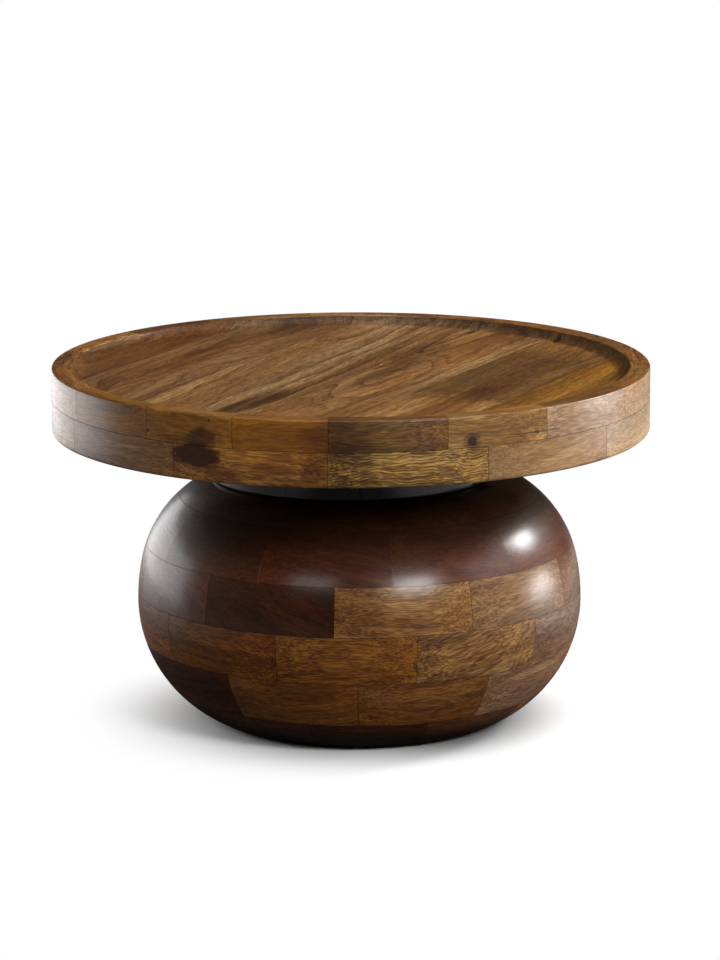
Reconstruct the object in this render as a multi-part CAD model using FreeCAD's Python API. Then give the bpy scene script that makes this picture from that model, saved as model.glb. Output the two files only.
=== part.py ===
import FreeCAD, Part
import math
import os

# Round tray table on a hollow drum of brick-laid blocks.
# Sizes are in millimetres and angles in degrees. The origin is on the floor, under the centre of
# the tray. +Z is up, and the front of the table faces -Y.
# A bearing is an angle seen from above: 0 at the front, growing towards +X.

# Tray
tray_radius = 381.0
upper_band_width = 43.0
upper_band_height = 39.0
lower_band_width = 60.0
lower_band_height = 44.0
dish_depth = 11.0
dish_cove_radius = 20.0
dish_lip_radius = 2.0
tray_top_edge_radius = 2.5
tray_under_edge_radius = 5.0

# Bearing of the first joint in each band, and each upper segment's part of the circle
upper_band_bearing = -21.9
upper_band_shares = (
    17.9, 21.9, 20.8, 24.4, 20.4, 22.6, 19.3, 23.1, 21.5,
    18.8, 22.9, 20.2, 24.0, 19.6, 21.7, 22.3, 18.6,
)
lower_band_bearing = -34.2
lower_band_count = 12

# Planks run along Y, then all are turned by this angle. Their seams are shares of the floor's
# radius.
plank_angle = -26.5
plank_seam_shares = (-0.834, -0.459, 0.0536, 0.3908, 0.769)

# Battens across the planks, inside the lower band. The outer edges of the outermost two lie at
# this share of the band's bore.
batten_count = 4
batten_width = 90.0
batten_reach_share = 0.7944
batten_end_gap = 1.0

# Countersunk screws, in pairs, from each batten into each plank that it crosses
screw_length = 60.0
screw_radius = 2.5
screw_head_radius = 5.0
screw_head_height = 3.0
screw_slot_width = 1.4
screw_slot_depth = 1.2
screw_pair_pitch = 45.0
screw_edge_margin = 25.0
screw_clearance = 0.3

# Neck, turned from staves glued side by side. It leaves a narrow ledge on top of the drum.
neck_ledge = 6.3
neck_height = 61.0
neck_edge_radius = 5.0
neck_stave_count = 4

# Drum. It stands a little to the right of the tray's centre.
drum_shift = 10.0
block_count = 10
foot_course_height = 44.5
course_height = 61.0
course_count = 5
foot_course_bearing = -15.4
course_angle = 15.0
drum_wall = 38.0
lid_thickness = 25.0
lid_board_count = 4

# Outline of the drum: its widest ring, how far its foot and top lie inside that, the arc above the
# widest ring, and the height at which a tighter arc takes over
belly_radius = 284.5
belly_height = 157.0
foot_inset = 103.6
top_inset = 97.2
side_arc_radius = 246.0
shoulder_height = 212.5

# Felt pads under every other block of the foot course
pad_radius = 15.0
pad_thickness = 2.5

# Socket head bolts, up through lid and neck into inserts in the two middle battens
bolt_radius = 4.0
bolt_head_radius = 6.5
bolt_head_height = 8.0
bolt_socket_width = 6.0
bolt_socket_depth = 4.0
bolt_seam_gap = 20.0
bolt_clearance = 0.5
washer_radius = 12.0
washer_thickness = 2.0
insert_radius = 6.5
insert_length = 22.0
insert_clearance = 0.2
thread_clearance = 0.1
insert_hole_spare = 4.0

# Cutting shapes run past the wood by this much, and points this close are one
overrun = 5.0
same_point = 1e-6

# Heights and radii that follow
drum_bottom = pad_thickness
lid_bottom = drum_bottom + foot_course_height + (course_count - 1) * course_height
drum_top = lid_bottom + lid_thickness
tray_bottom = drum_top + neck_height
band_seam = tray_bottom + lower_band_height
tray_top = band_seam + upper_band_height
floor_radius = tray_radius - upper_band_width
lower_band_bore = tray_radius - lower_band_width
batten_span = 2 * batten_reach_share * lower_band_bore
batten_pitch = (batten_span - batten_width) / (batten_count - 1)
neck_radius = belly_radius - top_inset - neck_ledge
block_angle = 360.0 / block_count

ORIGIN = FreeCAD.Vector(0, 0, 0)
AXIS = FreeCAD.Vector(0, 0, 1)
RIGHT = FreeCAD.Vector(1, 0, 0)


# Drawing and turning

def at(radius, height):
    """A point of a turned outline, drawn in the plane y = 0."""
    return FreeCAD.Vector(radius, 0, height)


def arc(centre, radius, start, end):
    """An arc of a turned outline about centre, between two angles from +X."""
    points = []
    for angle in (start, (start + end) / 2, end):
        turn = math.radians(angle)
        points.append(centre + at(radius * math.cos(turn), radius * math.sin(turn)))
    return Part.Arc(*points).toShape()


def outline(*steps):
    """A closed face from corners and arcs in order, joined by straight edges."""
    ends = []
    edges = []
    for step in steps:
        if isinstance(step, FreeCAD.Vector):
            ends.append((step, step))
        else:
            ends.append((step.firstVertex().Point, step.lastVertex().Point))
    for index, step in enumerate(steps):
        if not isinstance(step, FreeCAD.Vector):
            edges.append(step)
        start = ends[index][1]
        end = ends[(index + 1) % len(steps)][0]
        if not start.isEqual(end, same_point):
            edges.append(Part.makeLine(start, end))
    return Part.Face(Part.Wire(edges))


def turned(face):
    """The face swept all the way round the axis."""
    return face.revolve(ORIGIN, AXIS, 360)


def rotated(shape, angle):
    """A copy of the shape, turned about the axis."""
    copy = shape.copy()
    copy.rotate(ORIGIN, AXIS, angle)
    return copy


def shifted(shape, x=0, y=0, z=0):
    """A copy of the shape, moved."""
    copy = shape.copy()
    copy.translate(FreeCAD.Vector(x, y, z))
    return copy


def ring_segment(face, bearing, angle):
    """The face swept through an angle, from a bearing onwards."""
    return rotated(face, bearing - 90).revolve(ORIGIN, AXIS, angle)


def cylinder(radius, bottom, top, x=0, y=0):
    return Part.makeCylinder(radius, top - bottom, FreeCAD.Vector(x, y, bottom))


def boards(body, seams, reach, bottom, top):
    """The body sawn into boards that run along Y, with seams across X."""
    edges = [-reach] + list(seams) + [reach]
    pieces = []
    for left, right in zip(edges, edges[1:]):
        corner = FreeCAD.Vector(left, -reach, bottom)
        slab = Part.makeBox(right - left, 2 * reach, top - bottom, corner)
        pieces.append(body.common(slab))
    return pieces


def even_seams(width, count):
    """Seams that part a width, centred on the axis, into equal boards."""
    return [width * (index / count - 0.5) for index in range(1, count)]


def save(name, pieces):
    """One file, holding one solid or a group of separate ones."""
    solids = [solid for piece in pieces for solid in piece.Solids]
    shape = solids[0] if len(solids) == 1 else Part.makeCompound(solids)
    shape.exportStep("parts/" + name + ".step")


# Where the fastenings go. X and Y here run across and along the planks.

def batten_lines():
    """How far along the planks each batten's centre lies."""
    middle = (batten_count - 1) / 2
    return [(index - middle) * batten_pitch for index in range(batten_count)]


def batten_half_length(line):
    """A batten ends where its outer corners come near the lower band."""
    corner = abs(line) + batten_width / 2
    return math.sqrt(lower_band_bore ** 2 - corner ** 2) - batten_end_gap


def plank_seams():
    return [share * floor_radius for share in plank_seam_shares]


def screw_places():
    """A pair of screws in the middle of each plank that a batten crosses."""
    edges = [-floor_radius] + plank_seams() + [floor_radius]
    places = []
    for line in batten_lines():
        reach = batten_half_length(line)
        for left, right in zip(edges, edges[1:]):
            near = max(left, -reach)
            far = min(right, reach)
            if far - near > 2 * screw_edge_margin:
                for side in (-0.5, 0.5):
                    places.append(((near + far) / 2, line + side * screw_pair_pitch))
    return places


def bolt_places():
    """Two bolts in each of the two middle battens, through the outer staves of the neck."""
    line = batten_pitch / 2
    side = neck_radius * (1 - 2 / neck_stave_count) + bolt_seam_gap
    return [(x, y) for x in (-side, side) for y in (-line, line)]


def bolt_holes(radius, bottom, top):
    holes = [cylinder(radius, bottom, top, x, y) for x, y in bolt_places()]
    return Part.makeCompound(holes)


# Tray

def tray_floor():
    """The plank floor as one disc, inside the upper band and on top of the lower one."""
    return cylinder(floor_radius, band_seam, tray_top - dish_depth)


def screw_tool(radius, head_radius, tip, slack):
    """A screw, or with slack the hole for it, standing at the origin with its head down."""
    head_top = tray_bottom + screw_head_height
    head = Part.makeCone(head_radius + slack, radius + slack, screw_head_height, at(0, tray_bottom))
    shank = cylinder(radius + slack, head_top - slack, tip + slack)
    return head.fuse(shank)


def planks():
    """Planks with blind holes for the screws."""
    tip = tray_bottom + screw_length
    hole = screw_tool(screw_radius, screw_head_radius, tip, screw_clearance)
    holes = Part.makeCompound([shifted(hole, x, y) for x, y in screw_places()])
    pieces = boards(tray_floor(), plank_seams(), tray_radius, tray_bottom, tray_top + overrun)
    for number, piece in enumerate(pieces, 1):
        save("tray_plank_%d" % number, [rotated(piece.cut(holes), plank_angle)])


def upper_band():
    """Segments with a level top, and a hollow curve from it down to the plank floor."""
    edge = tray_top_edge_radius
    lip = dish_lip_radius
    cove = dish_cove_radius
    cove_centre = at(floor_radius, tray_top - dish_depth + cove)
    fall = cove + lip - dish_depth
    bend = math.degrees(math.asin(fall / (cove + lip)))
    lip_centre = cove_centre + at(math.sqrt((cove + lip) ** 2 - fall ** 2), -fall)
    face = outline(
        at(floor_radius, band_seam),
        at(tray_radius, band_seam),
        arc(at(tray_radius - edge, tray_top - edge), edge, 0, 90),
        arc(lip_centre, lip, 90, 180 - bend),
        arc(cove_centre, cove, -bend, -90),
    )
    bearing = upper_band_bearing
    for number, share in enumerate(upper_band_shares, 1):
        angle = 360 * share / sum(upper_band_shares)
        save("upper_band_segment_%02d" % number, [ring_segment(face, bearing, angle)])
        bearing += angle


def lower_band():
    """Segments under the upper band and the ends of the planks."""
    edge = tray_under_edge_radius
    face = outline(
        at(lower_band_bore, tray_bottom),
        arc(at(tray_radius - edge, tray_bottom + edge), edge, -90, 0),
        at(tray_radius, band_seam),
        at(lower_band_bore, band_seam),
    )
    angle = 360 / lower_band_count
    for index in range(lower_band_count):
        segment = ring_segment(face, lower_band_bearing + index * angle, angle)
        save("lower_band_segment_%02d" % (index + 1), [segment])


def battens():
    """Battens with countersunk screw holes and blind holes for the inserts."""
    tip = tray_bottom + screw_length
    screw_hole = screw_tool(screw_radius, screw_head_radius, tip, screw_clearance)
    insert_top = tray_bottom + insert_length + insert_hole_spare
    insert_holes = bolt_holes(insert_radius + insert_clearance, tray_bottom - overrun, insert_top)
    for number, line in enumerate(batten_lines(), 1):
        reach = batten_half_length(line)
        corner = FreeCAD.Vector(-reach, line - batten_width / 2, tray_bottom)
        batten = Part.makeBox(2 * reach, batten_width, lower_band_height, corner)
        holes = [shifted(screw_hole, x, y) for x, y in screw_places()]
        batten = batten.cut(Part.makeCompound(holes)).cut(insert_holes)
        save("batten_%d" % number, [rotated(batten, plank_angle)])


def batten_screws():
    """Wood screws, flush with the battens, each with a straight slot."""
    screw = screw_tool(screw_radius, screw_head_radius, tray_bottom + screw_length, 0)
    corner = FreeCAD.Vector(-screw_head_radius, -screw_slot_width / 2, tray_bottom)
    slot = Part.makeBox(2 * screw_head_radius, screw_slot_width, screw_slot_depth, corner)
    screw = screw.cut(slot)
    save("batten_screws", [rotated(shifted(screw, x, y), plank_angle) for x, y in screw_places()])


# Neck

def neck():
    """A disc with a rounded lower edge, in staves, with holes for the bolts."""
    edge = neck_edge_radius
    disc = turned(outline(
        at(0, drum_top),
        arc(at(neck_radius - edge, drum_top + edge), edge, -90, 0),
        at(neck_radius, tray_bottom),
        at(0, tray_bottom),
    ))
    holes = bolt_holes(bolt_radius + bolt_clearance, drum_top - overrun, tray_bottom + overrun)
    seams = even_seams(2 * neck_radius, neck_stave_count)
    reach = neck_radius + overrun
    staves = boards(disc.cut(holes), seams, reach, drum_top, tray_bottom)
    for number, stave in enumerate(staves, 1):
        save("neck_stave_%d" % number, [rotated(stave, plank_angle)])


# Drum

def bent_arc(start, inward, end):
    """Centre and radius of an arc through both points, with its centre inward of the first."""
    span = end - start
    radius = span.dot(span) / (2 * inward.dot(span))
    return start + inward * radius, radius


def drum_arcs():
    """Centres and radii of the drum's arcs: below the belly, above it and at the shoulder."""
    belly = at(belly_radius, belly_height)
    foot_arc = bent_arc(belly, -RIGHT, at(belly_radius - foot_inset, drum_bottom))
    side_centre = at(belly_radius - side_arc_radius, belly_height)
    rise = shoulder_height - belly_height
    outward = at(math.sqrt(side_arc_radius ** 2 - rise ** 2), rise) / side_arc_radius
    shoulder = side_centre + outward * side_arc_radius
    top_arc = bent_arc(shoulder, -outward, at(belly_radius - top_inset, drum_top))
    return foot_arc, (side_centre, side_arc_radius), top_arc


def drum_radius_at(height):
    """The drum's outer radius at a height."""
    foot_arc, side_arc, top_arc = drum_arcs()
    if height > shoulder_height:
        centre, radius = top_arc
    else:
        centre, radius = side_arc if height > belly_height else foot_arc
    return centre.x + math.sqrt(radius ** 2 - (height - centre.z) ** 2)


def course_inner(bottom, top):
    """How far a course's flat inside faces lie from the drum's axis."""
    corner = min(drum_radius_at(bottom), drum_radius_at(top)) - drum_wall
    return corner * math.cos(math.radians(block_angle / 2))


def drum_body():
    """The drum as one solid turned on its axis, from the pads to the top of the lid."""
    (foot_centre, foot_radius), (side_centre, side_radius), (top_centre, top_radius) = drum_arcs()
    foot_angle = math.degrees(math.asin((drum_bottom - belly_height) / foot_radius))
    bend = math.degrees(math.asin((shoulder_height - belly_height) / side_radius))
    top_angle = math.degrees(math.asin((drum_top - top_centre.z) / top_radius))
    return turned(outline(
        at(0, drum_bottom),
        arc(foot_centre, foot_radius, foot_angle, 0),
        arc(side_centre, side_radius, 0, bend),
        arc(top_centre, top_radius, bend, top_angle),
        at(0, drum_top),
    ))


def block_prism(inner, outer, bottom, top):
    """A block before turning: flat inside, mitred at both ends, facing the front."""
    slope = math.tan(math.radians(block_angle / 2))
    corners = [(-inner, inner), (inner, inner), (outer, outer), (-outer, outer)]
    points = [FreeCAD.Vector(side * slope, -depth, bottom) for side, depth in corners]
    face = Part.Face(Part.makePolygon(points + points[:1]))
    return face.extrude(FreeCAD.Vector(0, 0, top - bottom))


def courses():
    """Courses of blocks, each turned a little further than the one below it."""
    body = drum_body()
    bottom = drum_bottom
    for index in range(course_count):
        top = bottom + (course_height if index else foot_course_height)
        inner = course_inner(bottom, top)
        block = body.common(block_prism(inner, belly_radius + overrun, bottom, top))
        joint = foot_course_bearing + index * course_angle
        blocks = [
            shifted(rotated(block, joint + (number + 0.5) * block_angle), drum_shift)
            for number in range(block_count)
        ]
        name = "drum_course_%d" % (index + 1) if index else "drum_foot_course"
        save(name, blocks)
        bottom = top


def lid():
    """Boards that close the drum above the last course. They lie across the planks."""
    holes = bolt_holes(bolt_radius + bolt_clearance, lid_bottom - overrun, drum_top + overrun)
    holes = rotated(holes, plank_angle)
    seams = even_seams(2 * drum_radius_at(lid_bottom), lid_board_count)
    pieces = boards(drum_body(), seams, belly_radius, lid_bottom, drum_top)
    for number, piece in enumerate(pieces, 1):
        board = shifted(rotated(piece, plank_angle + 90), drum_shift)
        save("drum_lid_board_%d" % number, [board.cut(holes)])


def felt_pads():
    """Pads under the middle of every other block."""
    inner = course_inner(drum_bottom, drum_bottom + foot_course_height)
    ring = (inner + drum_radius_at(drum_bottom)) / 2
    pad = cylinder(pad_radius, 0, pad_thickness, 0, -ring)
    pads = [
        shifted(rotated(pad, foot_course_bearing + (number + 0.5) * block_angle), drum_shift)
        for number in range(0, block_count, 2)
    ]
    save("felt_pads", pads)


# Bolts

def tray_bolts():
    """Bolts with their heads inside the drum, under washers, and their tips in the inserts."""
    head_top = lid_bottom - washer_thickness
    head_bottom = head_top - bolt_head_height
    corner = at(bolt_socket_width / math.sqrt(3), head_bottom)
    turns = [FreeCAD.Rotation(AXIS, 60 * step) for step in range(7)]
    hexagon = Part.makePolygon([turn.multVec(corner) for turn in turns])
    socket = Part.Face(hexagon).extrude(FreeCAD.Vector(0, 0, bolt_socket_depth))
    head = cylinder(bolt_head_radius, head_bottom, head_top)
    shank = cylinder(bolt_radius, head_top, tray_bottom + insert_length)
    bolt = head.fuse(shank).removeSplitter().cut(socket)
    save("tray_bolts", [rotated(shifted(bolt, x, y), plank_angle) for x, y in bolt_places()])


def bolt_washers():
    bottom = lid_bottom - washer_thickness
    washer = cylinder(washer_radius, bottom, lid_bottom)
    washer = washer.cut(cylinder(bolt_radius + bolt_clearance, bottom, lid_bottom))
    pieces = [rotated(shifted(washer, x, y), plank_angle) for x, y in bolt_places()]
    save("bolt_washers", pieces)


def threaded_inserts():
    """Sleeves let into the battens, flush with their undersides."""
    top = tray_bottom + insert_length
    sleeve = cylinder(insert_radius, tray_bottom, top)
    sleeve = sleeve.cut(cylinder(bolt_radius + thread_clearance, tray_bottom, top))
    pieces = [rotated(shifted(sleeve, x, y), plank_angle) for x, y in bolt_places()]
    save("threaded_inserts", pieces)


os.makedirs("parts", exist_ok=True)
planks()
upper_band()
lower_band()
battens()
batten_screws()
neck()
courses()
lid()
felt_pads()
tray_bolts()
bolt_washers()
threaded_inserts()
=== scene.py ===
import bpy
import math
import random
import numpy as np
from mathutils import Matrix, Vector


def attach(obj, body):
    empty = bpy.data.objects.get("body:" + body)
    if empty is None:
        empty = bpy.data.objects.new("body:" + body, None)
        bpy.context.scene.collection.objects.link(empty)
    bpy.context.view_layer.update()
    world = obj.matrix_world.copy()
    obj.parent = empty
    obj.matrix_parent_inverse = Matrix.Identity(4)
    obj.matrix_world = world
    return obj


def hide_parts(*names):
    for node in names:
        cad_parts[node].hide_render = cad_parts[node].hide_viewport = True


# Round tray table on a drum of brick-laid blocks. Metres, front towards -Y.
# A bearing is an angle seen from above: 0 at the front, growing towards +X.

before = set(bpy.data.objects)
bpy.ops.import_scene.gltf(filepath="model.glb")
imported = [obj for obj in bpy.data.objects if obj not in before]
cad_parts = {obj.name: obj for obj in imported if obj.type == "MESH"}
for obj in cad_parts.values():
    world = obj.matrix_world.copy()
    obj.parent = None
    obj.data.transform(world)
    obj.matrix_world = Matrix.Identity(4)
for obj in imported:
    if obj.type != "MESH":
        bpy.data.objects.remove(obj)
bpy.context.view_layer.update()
print("frame loaded")

# Camera, fitted to the photograph
cameraSetup = dict(
    place=(0.0113, -5.7397, 1.5199),
    pitch=math.radians(11.9255),
    roll=-0.003652,
    focalPixels=4580.5,
    imageHeight=960,
    sensorHeight=36.0,
)


def newObject(name, data):
    made = bpy.data.objects.new(name, data)
    bpy.context.scene.collection.objects.link(made)
    return made


def makeCamera(setup):
    data = bpy.data.cameras.new("camera")
    data.sensor_fit = "VERTICAL"
    data.sensor_height = setup["sensorHeight"]
    data.lens = setup["focalPixels"] / setup["imageHeight"] * setup["sensorHeight"]
    data.clip_end = 200
    pitch, roll = setup["pitch"], setup["roll"]
    right = Vector((1, 0, 0))
    up = Vector((0, math.sin(pitch), math.cos(pitch)))
    forward = Vector((0, math.cos(pitch), -math.sin(pitch)))
    turnedRight = right * math.cos(roll) + up * math.sin(roll)
    turnedUp = up * math.cos(roll) - right * math.sin(roll)
    camera = newObject("camera", data)
    axes = Matrix((turnedRight, turnedUp, -forward)).transposed().to_4x4()
    camera.matrix_world = Matrix.Translation(setup["place"]) @ axes
    bpy.context.scene.camera = camera


makeCamera(cameraSetup)
bpy.context.scene.view_settings.view_transform = "Standard"


# Small helpers for node trees. A value is a number, or the socket that it comes from.

def setInputs(node, inputs):
    for key, value in inputs.items():
        if isinstance(value, bpy.types.NodeSocket):
            node.id_data.links.new(value, node.inputs[key])
        else:
            node.inputs[key].default_value = value


def addNode(tree, kind, inputs=None, **settings):
    made = tree.nodes.new(kind)
    for key, value in settings.items():
        setattr(made, key, value)
    setInputs(made, inputs or {})
    return made


def treeOf(values):
    return next(value.id_data for value in values if isinstance(value, bpy.types.NodeSocket))


def calc(operation, *values):
    return addNode(treeOf(values), "ShaderNodeMath", dict(enumerate(values)), operation=operation).outputs[0]


def times(first, second):
    return calc("MULTIPLY", first, second)


def between(share, first, second):
    return calc("MULTIPLY_ADD", calc("SUBTRACT", second, first), share, first)


def calcVector(operation, *values):
    made = addNode(treeOf(values), "ShaderNodeVectorMath", dict(enumerate(values)), operation=operation)
    return made.outputs["Value" if operation in ("LENGTH", "DOT_PRODUCT") else "Vector"]


def split(vector):
    return addNode(vector.id_data, "ShaderNodeSeparateXYZ", {0: vector}).outputs


def join(parts):
    return addNode(treeOf(parts.values()), "ShaderNodeCombineXYZ", parts).outputs[0]


def blendColour(factor, first, second, kind="MIX"):
    tree = treeOf((factor, first, second))
    inputs = {0: factor, 6: first, 7: second}
    return addNode(tree, "ShaderNodeMix", inputs, data_type="RGBA", blend_type=kind).outputs[2]


def ramp(value, low, high, lowOut=0.0, highOut=1.0, kind="SMOOTHSTEP"):
    inputs = {0: value, 1: low, 2: high, 3: lowOut, 4: highOut}
    return addNode(value.id_data, "ShaderNodeMapRange", inputs, interpolation_type=kind).outputs[0]


def addSockets(tree, direction, **kinds):
    for kind, names in kinds.items():
        for name in names:
            tree.interface.new_socket(name, in_out=direction, socket_type="NodeSocket" + kind)


def linear(*levels):
    # Linear colour of three display levels from 0 to 255
    shares = [level / 255 for level in levels]
    return tuple(s / 12.92 if s <= 0.04045 else ((s + 0.055) / 1.055) ** 2.4 for s in shares) + (1.0,)


def objectPlace(tree):
    return tree.nodes.new("ShaderNodeTexCoord").outputs["Object"]


def newMaterial(name):
    material = bpy.data.materials.new(name)
    material.use_nodes = True
    return material, material.node_tree, material.node_tree.nodes["Principled BSDF"]


# Studio: a pale floor, a large soft box at the left, small hard lamps at the right.
# A row of four numbers is where a change starts and ends, and the values there.
studio = dict(
    floorSize=60.0,
    floorColour=0.25,
    glossFloor=(0.45, 0.95, 0.09, 0.5),  # the floor that gloss sees, from the middle to the sides
    whiteLevel=1.1,
    drumPlace=(0.01, 0.0, 0.0),
    paintedContactShadow=(0.17, 0.325, 0.82, 0.0),  # a painted shadow: a dark ring under the drum
    paintedShadowSides=(0.0, 0.15, 0.39, 1.0),  # how much of it falls to the left and to the right
    shadowEdge=(0.17, 0.38),
    surround=0.035,
    sideGlow=(0.55, 0.95, 0.0, 0.30),
    roomColour=(1.0, 0.84, 0.68, 1),
    aim=(0.01, 0.0, 0.25),
    lamps=(
        # name, bearing, height angle, distance, width, height, strength
        ("leftBox", -125, 4.2, 1.6, 1.7, 0.66, 4.9),
        ("rightLow", 105, -0.8, 3.2, 0.95, 0.54, 27.0),
        ("rightHigh", 112, 28, 3.2, 0.80, 0.72, 58.0),
        ("rightFill", 76, 24, 3.2, 1.6, 1.0, 3.6),
        ("frontRight", 30, 25, 3.4, 1.1, 0.58, 42.0),
        ("frontLeft", -25, 28, 3.4, 1.2, 0.5, 7.0),
        ("overhead", 0, 88, 2.6, 2.2, 2.2, 3.0),
    ),
)


def placeLamp(name, bearing, rise, distance, width, height, strength):
    data = bpy.data.lights.new(name, "AREA")
    data.shape = "RECTANGLE"
    data.size = width
    data.size_y = height
    data.energy = strength * math.pi * width * height
    side, up = math.radians(bearing), math.radians(rise)
    way = Vector((math.sin(side) * math.cos(up), -math.cos(side) * math.cos(up), math.sin(up)))
    axes = way.to_track_quat("Z", "Y").to_matrix().to_4x4()
    newObject(name, data).matrix_world = Matrix.Translation(Vector(studio["aim"]) + way * distance) @ axes


def rays(tree):
    # Gloss, and the rays that see the white backdrop
    light = tree.nodes.new("ShaderNodeLightPath").outputs
    return light["Is Glossy Ray"], calc("MAXIMUM", light["Is Camera Ray"], light["Is Transmission Ray"])


def makeWorld():
    world = bpy.data.worlds.new("studio")
    bpy.context.scene.world = world
    world.use_nodes = True
    tree = world.node_tree
    tree.nodes.clear()
    glossy, seen = rays(tree)
    # Gloss sees the white backdrop at both sides, and less of it behind and in front
    across = split(tree.nodes.new("ShaderNodeTexCoord").outputs["Generated"])[0]
    sides = times(ramp(calc("ABSOLUTE", across), *studio["sideGlow"]), glossy)
    level = calc("MAXIMUM", calc("MAXIMUM", seen, sides), studio["surround"])
    colour = blendColour(seen, studio["roomColour"], (1, 1, 1, 1))
    back = addNode(tree, "ShaderNodeBackground", {"Color": colour, "Strength": level})
    addNode(tree, "ShaderNodeOutputWorld", {0: back.outputs[0]})


def makeFloor():
    size, plain = studio["floorSize"], studio["floorColour"]
    mesh = bpy.data.meshes.new("studioFloor")
    corners = [(-size, -size, 0), (size, -size, 0), (size, size, 0), (-size, size, 0)]
    mesh.from_pydata(corners, [], [(0, 1, 2, 3)])
    material, tree = newMaterial("studioFloor")[:2]
    tree.nodes.clear()
    # White to the camera, with the shadow kept close to the drum, and a duller white to gloss
    glossy, seen = rays(tree)
    place = objectPlace(tree)
    across = split(place)[0]
    level = between(glossy, plain, ramp(calc("ABSOLUTE", across), *studio["glossFloor"]))
    level = calc("MAXIMUM", level, times(seen, studio["whiteLevel"]))
    reach = calcVector("LENGTH", calcVector("SUBTRACT", place, studio["drumPlace"]))
    # A painted shadow darkens a ring of the floor round the drum's foot, more at the right than at the left
    paintedContactShadow = times(ramp(reach, *studio["paintedContactShadow"]), ramp(across, *studio["paintedShadowSides"]))
    level = times(level, calc("SUBTRACT", 1.0, paintedContactShadow))
    colour = addNode(tree, "ShaderNodeCombineColor", {0: level, 1: level, 2: level}).outputs[0]
    diffuse = addNode(tree, "ShaderNodeBsdfDiffuse", {"Color": colour})
    glow = addNode(tree, "ShaderNodeEmission", {"Color": (1, 1, 1, 1)})
    away = times(ramp(reach, *studio["shadowEdge"]), seen)
    mixed = addNode(tree, "ShaderNodeMixShader", {0: away, 1: diffuse.outputs[0], 2: glow.outputs[0]})
    addNode(tree, "ShaderNodeOutputMaterial", {0: mixed.outputs[0]})
    mesh.materials.append(material)
    newObject("studioFloor", mesh)


for lamp in studio["lamps"]:
    placeLamp(*lamp)
makeWorld()
makeFloor()
print("studio ready")

# Wood. Each board carries its own frame as an attribute: x along the grain, and y and z measured
# from the middle of the tree that it was cut from.


def stretched(place, along, across):
    return calcVector("MULTIPLY", place, (along, across, across))


def noise(place, along, across, detail=2.0, rough=0.5, output=0):
    return addNode(place.id_data, "ShaderNodeTexNoise", {
        "Vector": stretched(place, along, across), "Scale": 1.0, "Detail": detail,
        "Roughness": rough}).outputs[output]


def drift(place, along, across, detail):
    # A wandering vector round zero
    return calcVector("SUBTRACT", noise(place, along, across, detail, output=1), (0.5, 0.5, 0.5))


def tinted(colour, tint):
    return blendColour(1.0, colour, tint, "MULTIPLY")


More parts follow.
